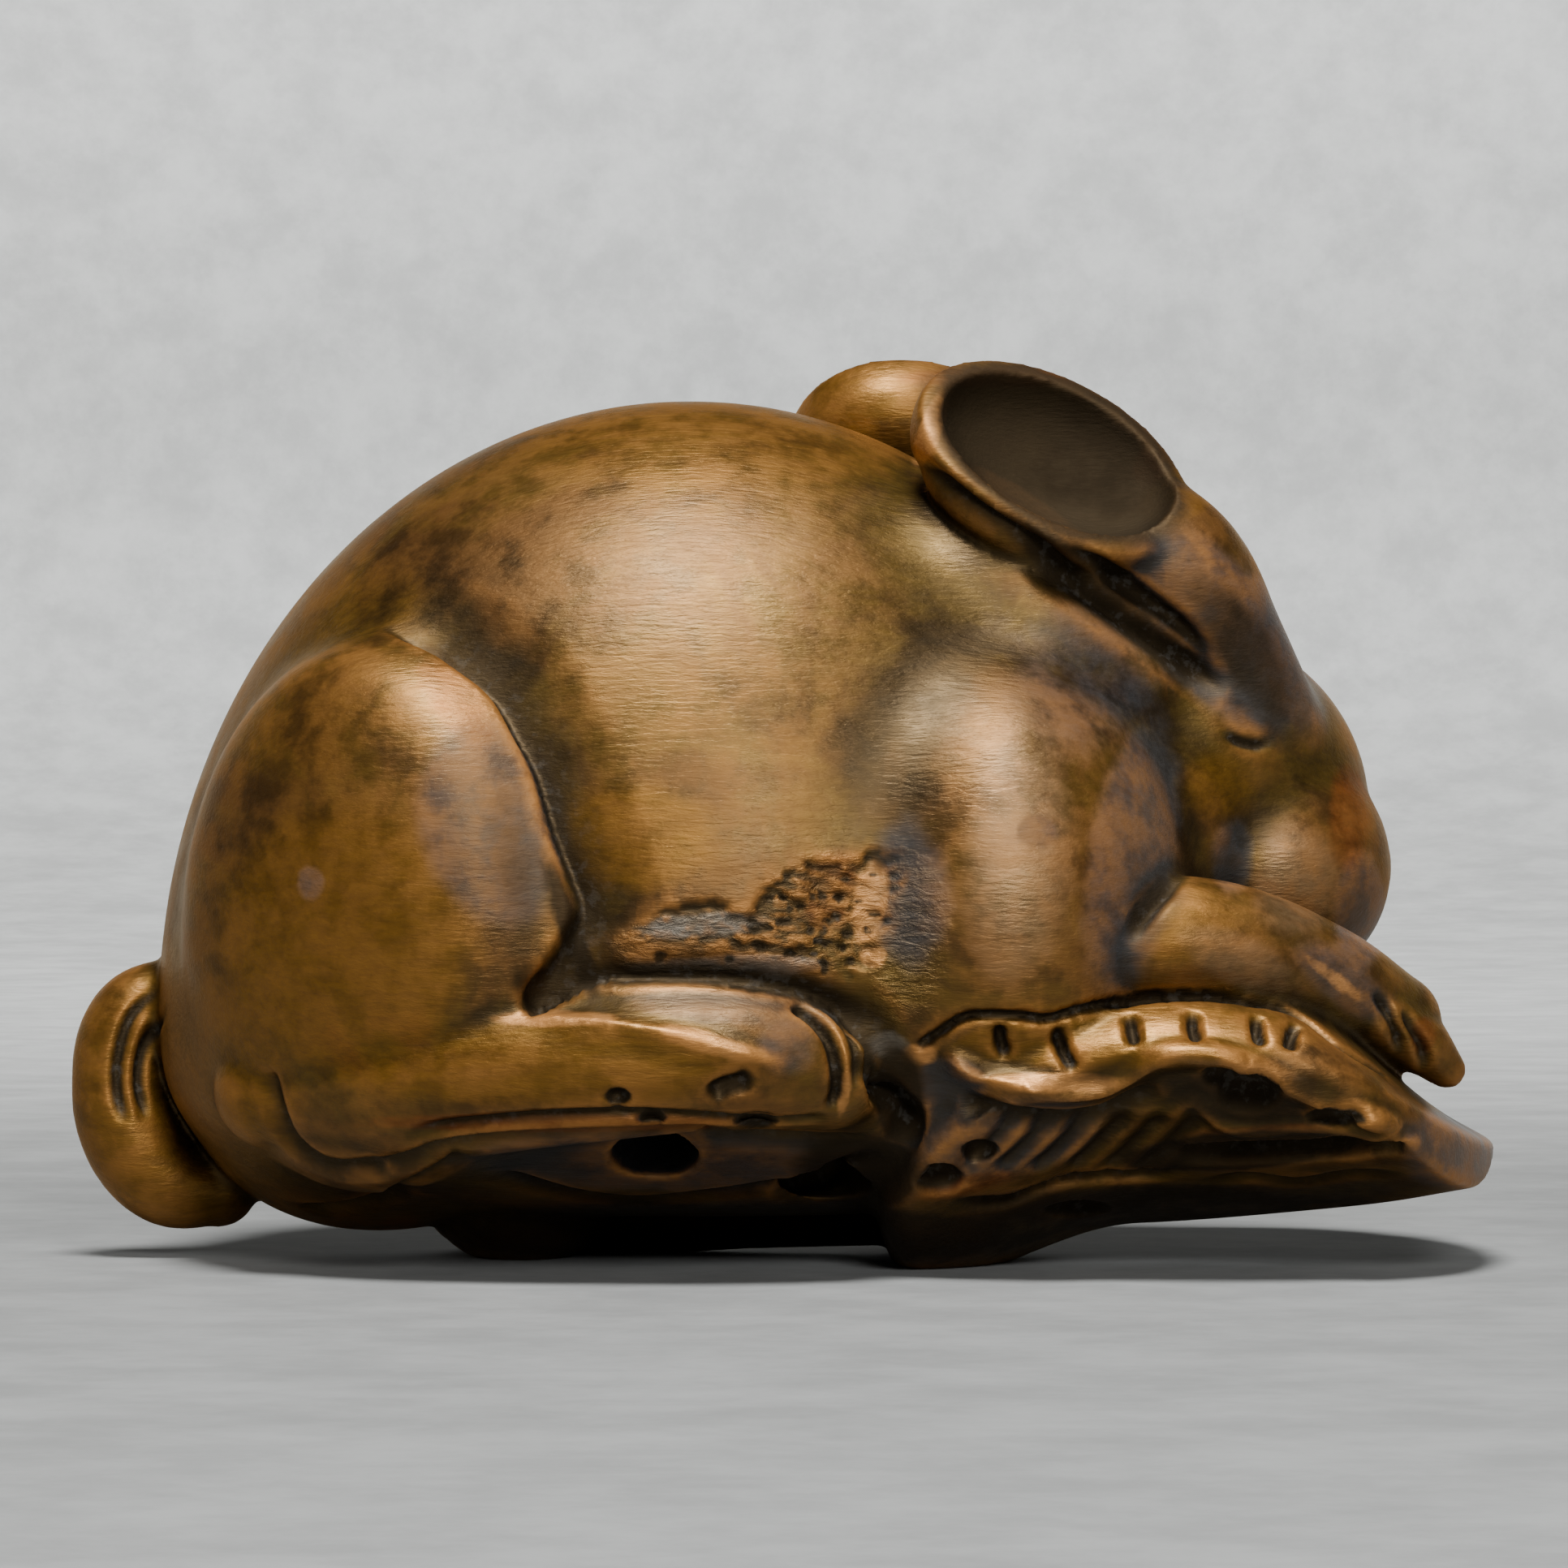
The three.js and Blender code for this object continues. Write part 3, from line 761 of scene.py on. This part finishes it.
def spread(values, edges, rounds):  # evens values out over the surface
    degree = np.bincount(edges.ravel(), minlength=len(values)).astype(float)
    for _ in range(rounds):
        total = np.zeros_like(values)
        for axis in range(values.shape[1]):
            total[:, axis] = np.bincount(edges[:, 0], values[edges[:, 1], axis], len(values))
            total[:, axis] += np.bincount(edges[:, 1], values[edges[:, 0], axis], len(values))
        values = 0.5 * values + 0.5 * total / degree[:, None]
    return values


def readEdges(item):
    edges = np.empty(len(item.data.edges) * 2, np.int32)
    item.data.edges.foreach_get("vertices", edges)
    return edges.reshape(-1, 2)


def bulge(points, normals, edges, rounds):  # above zero on a crest, below zero in a valley, in millimetres
    return np.einsum("ij,ij->i", points - spread(points, edges, rounds), normals)


# Each patch is its place and half size on the flank's plane, its turn and its strength.
patches = {
    "rough": [
        ((-2.2, 9.7), (3.6, 1.1), 4, 1.0), ((1.4, 10.6), (2.2, 2.0), 30, 1.0),
        ((3.9, 9.8), (1.6, 3.4), 0, 0.7),
    ],
    # bare wood where the stain has worn off, and painted highlights along the foot's crest and the shell's
    # ridge
    "bareWoodAndHighlight": [
        ((2.8, 11.0), (0.6, 1.5), -12, 0.9), ((2.9, 9.3), (0.5, 0.4), 0, 0.9),
        ((-4.2, 9.3), (0.7, 0.25), 0, 0.8), ((2.0, 5.1), (0.25, 0.9), -10, 0.8),
        ((-7.0, 7.4), (2.2, 0.3), 0, 0.8), ((-2.0, 6.6), (2.0, 0.4), -16, 0.8),
        ((8.6, 5.4), (2.4, 0.4), 0, 0.8), ((4.7, 25.7), (0.4, 1.4), -20, 1.0),
        ((7.6, 23.4), (2.4, 0.35), -32, 0.8), ((4.3, 6.3), (0.7, 0.4), 0, 0.8),
        ((17.2, 8.6), (1.4, 0.3), -38, 0.6),
    ],
    "frost": [
        ((-1.6, 9.0), (3.6, 0.4), 2, 0.8), ((-2.4, 10.3), (2.4, 0.5), 4, 0.5),
        ((3.3, 6.6), (0.9, 0.5), 0, 0.7),
    ],
    "amber": [
        ((-13.5, 9.8), (4.6, 4.6), 20, 1.0), ((-7.5, 6.0), (7.5, 1.5), 0, 1.0),
        ((-18.5, 5.0), (4.0, 5.0), 0, 0.9), ((10.5, 6.9), (6.5, 1.2), 0, 1.0),
        ((12.5, 10.3), (2.0, 1.4), 20, 0.8), ((-14.0, 18.0), (6.0, 3.6), 45, 0.5),
        ((-1.5, 25.5), (9.0, 2.4), 0, 0.6), ((12.5, 23.7), (0.9, 1.6), -60, 1.0),
        ((3.0, 26.8), (3.4, 1.2), 0, 0.9), ((-4.5, 13.0), (3.0, 2.0), 0, 0.8),
        ((13.6, 14.6), (1.3, 1.4), 0, 0.7), ((-1.0, 17.0), (4.0, 2.5), 0, 0.4),
    ],
    "grey": [
        ((-8.9, 13.4), (2.3, 3.4), 15, 1.2), ((10.9, 12.4), (1.5, 4.8), -8, 1.0),
        ((8.0, 13.2), (0.7, 0.6), 0, 1.0), ((17.9, 10.6), (0.9, 2.4), 0, 0.9),
        ((6.5, 3.6), (4.4, 1.5), 10, 0.8), ((-3.0, 3.0), (8.0, 1.1), 0, 0.9),
        ((5.2, 5.2), (1.3, 1.1), 0, 1.0), ((20.8, 3.4), (1.8, 1.5), 0, 0.9),
        ((13.6, 19.4), (4.0, 2.0), -52, 1.3), ((4.0, 11.2), (1.5, 2.6), 0, 0.9),
        ((0.3, 6.6), (1.2, 1.2), 0, 0.7), ((17.4, 8.6), (2.2, 0.9), -38, 0.8),
        ((15.6, 17.6), (1.4, 2.2), 35, 0.7), ((-14.5, 11.6), (0.5, 0.6), 0, 0.9),
        ((14.0, 12.4), (0.8, 1.4), 0, 0.8), ((9.5, 18.0), (3.0, 3.4), -30, 0.6),
        ((-1.0, 7.7), (4.6, 0.7), -4, 0.6),
    ],
    "ember": [
        ((-10.0, 17.2), (1.0, 2.2), 35, 0.6), ((7.0, 27.2), (3.6, 0.4), 0, 0.8),
        ((17.6, 13.6), (0.8, 2.0), 0, 0.7), ((-7.0, 4.2), (6.5, 0.35), 0, 1.0),
        ((19.9, 6.9), (0.5, 0.7), 0, 0.8), ((5.6, 2.2), (2.2, 0.4), 12, 0.7),
        ((-11.6, 0.6), (1.2, 0.7), 0, 0.8), ((1.6, 11.4), (1.4, 1.8), 0, 0.5),
        ((15.0, 3.9), (3.0, 0.3), 3, 0.6), ((11.4, 24.4), (0.6, 0.8), 0, 0.8),
        ((-12.0, 6.5), (3.0, 1.6), 0, 0.35),
    ],
    # pale patches are painted highlights, on the shoulder, the back, the cheek, the arm and the shell's
    # second ridge
    "pale": [
        ((16.0, 11.6), (1.6, 2.2), 0, 0.7), ((7.4, 12.6), (2.1, 5.0), -4, 0.65),
        ((14.2, 9.2), (2.6, 1.0), -25, 0.6), ((-2.5, 21.0), (6.0, 2.8), 20, 0.3),
        ((14.0, 5.9), (3.4, 0.3), -10, 0.5),
    ],
    # these patches are partly real dark blotches and partly painted shade, in the ear cups, the crevices,
    # the shell's mouth and along the underside
    "sootAndShade": [
        ((14.4, 18.8), (3.2, 1.1), -56, 0.6), ((15.6, 16.4), (1.0, 0.9), 0, 0.5),
        ((-8.3, 12.6), (1.0, 2.6), 12, 0.4), ((8.6, 24.9), (4.4, 2.3), -28, 1.6),
        ((3.7, 5.0), (0.9, 1.8), 0, 1.0), ((14.2, 3.3), (4.4, 0.7), 4, 1.0),
        ((9.6, 20.9), (4.6, 0.9), -38, 0.7), ((11.6, 10.8), (1.0, 1.6), -30, 0.6),
        ((-1.0, 0.7), (11.0, 1.2), 0, 1.0), ((14.0, 4.9), (2.6, 0.9), -10, 0.8),
        ((11.0, 1.6), (9.0, 0.9), 2, 0.75), ((2.5, 2.6), (2.4, 1.6), 0, 0.9),
        ((-6.4, 10.0), (0.5, 3.0), 20, 0.8), ((5.6, 6.9), (1.6, 0.25), 20, 0.5),
        ((14.0, 1.9), (7.0, 0.6), 4, 0.6),
    ],
}


def paintPatches(points, normals, marks):
    layer = np.zeros(len(points))
    shrink = -viewer["at"][1] / (points[:, 1] - viewer["at"][1])
    a = (points[:, 0] - viewer["at"][0]) * shrink + viewer["at"][0]
    b = (points[:, 2] - viewer["at"][2]) * shrink + viewer["at"][2]
    facing = step(-normals[:, 1], -0.25, 0.15)
    for (x, z), (halfWidth, halfHeight), turn, strength in marks:
        cos, sin = math.cos(math.radians(turn)), math.sin(math.radians(turn))
        u = ((a - x) * cos + (b - z) * sin) / halfWidth
        v = ((b - z) * cos - (a - x) * sin) / halfHeight
        reach = np.hypot(u, v)
        layer = np.maximum(layer, strength * (1 - step(reach, 0.45, 1.35)))
    return layer * (0.35 + 0.65 * facing)


def addLayers():
    points, normals, edges = readPoints(carving), readNormals(carving), readEdges(carving)
    fine, broad = bulge(points, normals, edges, 6), bulge(points, normals, edges, 60)
    addLayer("dirt", dirt)
    addLayer("edge", np.clip(fine / 0.03, 0, 1) * 0.7 + np.clip(broad / 0.25, 0, 1) * 0.3)
    # how far each point lies in a hollow; the material darkens hollows with it as painted shade
    addLayer("hollow", np.clip(-fine / 0.03, 0, 1) * 0.6 + np.clip(-broad / 0.25, 0, 1) * 0.6)
    for name, marks in patches.items():
        addLayer(name, paintPatches(points, normals, marks))


def centre(block):  # over the origin, as the CAD solid is
    points = readPoints(block)
    middle = (points.min(axis=0) + points.max(axis=0)) / 2
    writePoints(block, points - (middle[0], middle[1], 0))


addLayers()
centre(carving)
# the layers laid on hold wear and stain, painted shade and painted highlights
print("wear and stain laid on")

# The stained boxwood. Each stain or painted highlight has its colour and how far it hides the wood.
boxwood = {
    "dark": (0.0060, 0.0045, 0.0028),
    "brown": (0.020, 0.0112, 0.0036),
    "olive": (0.058, 0.034, 0.0062),
    "stainsAndHighlights": {
        "amber": ((0.100, 0.046, 0.0035), 0.85),
        # pale is the colour of the painted highlights
        "pale": ((0.130, 0.090, 0.056), 0.7),
        "grey": ((0.016, 0.020, 0.025), 0.85),
        "ember": ((0.105, 0.022, 0.0035), 0.8),
        # unstained wood, also the colour of the painted highlights on crests
        "bareWoodAndHighlight": ((0.400, 0.180, 0.055), 0.8),
        "frost": ((0.200, 0.190, 0.170), 0.6),
    },
    "worn": (0.300, 0.125, 0.030),
    # near-black: grime in the cut lines, and the painted shade of the dark patches
    "sootAndShade": (0.0018, 0.0016, 0.0014),
    "dust": (0.020, 0.020, 0.019),
    "roughness": 0.34,
    "sheen": (1.0, 0.68, 0.34),
    "metallic": (0.55, 0.05),  # polished, and where it is dulled
    "specular": (0.85, 0.4),
}


def addNode(tree, kind, inputs=None, **settings):
    node = tree.nodes.new(kind)
    for key, value in settings.items():
        setattr(node, key, value)
    for key, value in (inputs or {}).items():
        if isinstance(value, bpy.types.NodeSocket):
            tree.links.new(value, node.inputs[key])
        else:
            node.inputs[key].default_value = value
    return node


def readLayer(tree, name):
    return addNode(tree, "ShaderNodeAttribute", attribute_name=name).outputs["Fac"]


def mixColour(tree, share, first, second, blend="MIX"):
    colours = [c if isinstance(c, bpy.types.NodeSocket) else (*c, 1) for c in (first, second)]
    node = addNode(tree, "ShaderNodeMix", data_type="RGBA", blend_type=blend)
    for slot, value in ((0, share), (6, colours[0]), (7, colours[1])):
        if isinstance(value, bpy.types.NodeSocket):
            tree.links.new(value, node.inputs[slot])
        else:
            node.inputs[slot].default_value = value
    return node.outputs[2]


def calculate(tree, operation, first, second=0.0, third=0.0):
    return addNode(tree, "ShaderNodeMath", {0: first, 1: second, 2: third}, operation=operation).outputs[0]


def remap(tree, value, low, high, toLow=0.0, toHigh=1.0):
    inputs = {"Value": value, "From Min": low, "From Max": high, "To Min": toLow, "To Max": toHigh}
    return addNode(tree, "ShaderNodeMapRange", inputs, interpolation_type="SMOOTHSTEP").outputs["Result"]


def noise(tree, vector, scale, detail=3.0, roughness=0.55, distortion=0.0):
    inputs = {"Vector": vector, "Scale": scale, "Detail": detail, "Roughness": roughness}
    inputs["Distortion"] = distortion
    return addNode(tree, "ShaderNodeTexNoise", inputs).outputs["Fac"]


def stretched(tree, vector, scale):
    return addNode(tree, "ShaderNodeMapping", {"Vector": vector, "Scale": scale}).outputs["Vector"]


def addBump(tree, height, strength, depth, under=None):
    inputs = {"Height": height, "Strength": strength, "Distance": depth * mm}
    if under:
        inputs["Normal"] = under
    return addNode(tree, "ShaderNodeBump", inputs).outputs[0]


def makeBoxwood():
    material = bpy.data.materials.new("stained boxwood")
    material.use_nodes = True
    tree = material.node_tree
    shader = tree.nodes["Principled BSDF"]
    place = stretched(tree, addNode(tree, "ShaderNodeTexCoord").outputs["Object"], (1000, 1000, 1000))
    mottle = noise(tree, place, 0.22, 5, 0.6, 0.6)
    cloud = noise(tree, place, 0.75, 4, 0.6)
    grain = noise(tree, stretched(tree, place, (0.45, 3.6, 3.6)), 1.0, 5, 0.65, 0.3)
    scratch = noise(tree, stretched(tree, place, (1.6, 9, 9)), 1.0, 3, 0.6, 0.4)
    ruck = noise(tree, stretched(tree, place, (1.6, 4.6, 4.6)), 1.0, 4, 0.65, 0.8)
    speck = noise(tree, place, 2.6, 3, 0.6)

    def patch(name):  # a layer with its edges broken up by the clouding
        wander = calculate(tree, "MULTIPLY_ADD", cloud, 0.7, -0.35)
        return remap(tree, calculate(tree, "ADD", readLayer(tree, name), wander), 0.25, 0.8)

    colour = mixColour(tree, remap(tree, mottle, 0.30, 0.46), boxwood["dark"], boxwood["brown"])
    colour = mixColour(tree, remap(tree, mottle, 0.42, 0.60), colour, boxwood["olive"])
    # pale is laid on as painted highlight and bare partly so; the other colours are stains
    for name, (tint, cover) in boxwood["stainsAndHighlights"].items():
        colour = mixColour(tree, calculate(tree, "MULTIPLY", patch(name), cover), colour, tint)
    streak = remap(tree, grain, 0.25, 0.75, 0.68, 1.32)
    streaks = addNode(tree, "ShaderNodeCombineColor", {0: streak, 1: streak, 2: streak}).outputs[0]
    colour = mixColour(tree, 1.0, colour, streaks, "MULTIPLY")
    crest = calculate(tree, "MULTIPLY", readLayer(tree, "edge"), remap(tree, cloud, 0.35, 0.6, 0.25, 0.75))
    colour = mixColour(tree, crest, colour, boxwood["worn"])
    # dark patches: painted shade and dark blotches
    colour = mixColour(tree, calculate(tree, "MULTIPLY", patch("sootAndShade"), 0.95), colour, boxwood["sootAndShade"])
    shade = calculate(tree, "MULTIPLY", readLayer(tree, "hollow"), 0.75)
    colour = mixColour(tree, shade, colour, boxwood["dark"])
    grime = mixColour(tree, remap(tree, speck, 0.52, 0.66), boxwood["sootAndShade"], boxwood["dust"])
    colour = mixColour(tree, remap(tree, readLayer(tree, "dirt"), 0.05, 0.75), colour, grime)
    tree.links.new(colour, shader.inputs["Base Color"])

    gloss = remap(tree, cloud, 0.3, 0.7, boxwood["roughness"] - 0.05, boxwood["roughness"] + 0.07)
    for name, roughening in (("dirt", 0.3), ("rough", 0.12), ("sootAndShade", 0.3)):
        gloss = calculate(tree, "MULTIPLY_ADD", readLayer(tree, name), roughening, gloss)
    tree.links.new(calculate(tree, "MULTIPLY_ADD", scratch, 0.12, gloss), shader.inputs["Roughness"])
    dull = calculate(tree, "MAXIMUM", patch("sootAndShade"), patch("grey"))
    dull = calculate(tree, "MAXIMUM", dull, readLayer(tree, "dirt"))
    tree.links.new(remap(tree, dull, 0, 1, *boxwood["metallic"]), shader.inputs["Metallic"])
    tree.links.new(remap(tree, dull, 0, 1, *boxwood["specular"]), shader.inputs["Specular IOR Level"])
    shader.inputs["Specular Tint"].default_value = (*boxwood["sheen"], 1)

    fineGrain = addBump(tree, grain, 0.35, 0.04)
    scratches = addBump(tree, scratch, 0.9, 0.02, fineGrain)
    rucks = addBump(tree, calculate(tree, "MULTIPLY", ruck, patch("rough")), 0.9, 0.14, scratches)
    tree.links.new(rucks, shader.inputs["Normal"])
    return material


carving.data.materials.clear()
carving.data.materials.append(makeBoxwood())
selectOnly(carving)
bpy.ops.object.shade_smooth()
carving.name = "puppyOnShell"
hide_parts("netsuke")
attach(carving, "root")
print("boxwood finished")

# The stage is a pale bowl with a flat middle, under soft light.
studio = {
    "floor": (0.23, 0.235, 0.23),
    "radius": 420,
    "height": 420,
    "rim": 0.75,
    "key": {"at": (-10, -120, 300), "aim": (0, 0, 12), "size": 110, "power": 2.3},
    "front": {"at": (60, -330, 150), "aim": (0, 0, 14), "size": 90, "power": 0.8},
    "wall": {"at": (0, 120, 330), "aim": (0, 420, 250), "size": 160, "power": 7.6},
    "sky": (0.80, 0.82, 0.83),
    "skyStrength": 0.028,
}


def makeBowl():
    bowl = addBall(128)
    x, y, z = readPoints(bowl).T
    out = np.maximum(np.hypot(x, y), 1e-9)
    wide = np.where(z < 0, out, 2 - out) / out  # keeps opening outwards above its waist
    height = studio["height"] * ((1 + z) / 2) ** 3
    writePoints(bowl, np.stack([x * wide * studio["radius"], y * wide * studio["radius"], height], axis=1))
    selectOnly(bowl)
    bpy.ops.object.mode_set(mode="EDIT")
    bpy.ops.mesh.select_all(action="SELECT")
    bpy.ops.mesh.flip_normals()
    bpy.ops.mesh.select_all(action="DESELECT")
    bpy.ops.object.mode_set(mode="OBJECT")
    for face in bowl.data.polygons:
        face.select = face.center.z > studio["rim"] * studio["height"] * mm
    bpy.ops.object.mode_set(mode="EDIT")
    bpy.ops.mesh.delete(type="FACE")
    bpy.ops.object.mode_set(mode="OBJECT")
    bpy.ops.object.shade_smooth()
    bowl.name = "floor"
    return bowl


def makePlaster():
    material = bpy.data.materials.new("pale plaster")
    material.use_nodes = True
    tree = material.node_tree
    shader = tree.nodes["Principled BSDF"]
    place = addNode(tree, "ShaderNodeTexCoord").outputs["Object"]
    blotch = remap(tree, noise(tree, place, 150, 7, 0.7), 0.3, 0.7)
    deeper = tuple(0.74 * c for c in studio["floor"])
    tree.links.new(mixColour(tree, blotch, deeper, studio["floor"]), shader.inputs["Base Color"])
    shader.inputs["Roughness"].default_value = 0.85
    return material


def addSoftLight(name, at, aim, size, power):
    bpy.ops.object.light_add(type="AREA", location=[v * mm for v in at])
    lamp = bpy.context.object
    lamp.name = name
    lamp.data.shape = "DISK"
    lamp.data.size = size * mm
    lamp.data.energy = power
    lamp.rotation_euler = (Vector(aim) - Vector(at)).to_track_quat("-Z", "Y").to_euler()


bowl = makeBowl()
bowl.data.materials.append(makePlaster())
addSoftLight("key", **studio["key"])
addSoftLight("front", **studio["front"])
addSoftLight("wall", **studio["wall"])
world = bpy.data.worlds.new("sky")
bpy.context.scene.world = world
world.use_nodes = True
world.node_tree.nodes["Background"].inputs["Color"].default_value = (*studio["sky"], 1)
world.node_tree.nodes["Background"].inputs["Strength"].default_value = studio["skyStrength"]
print("stage set")
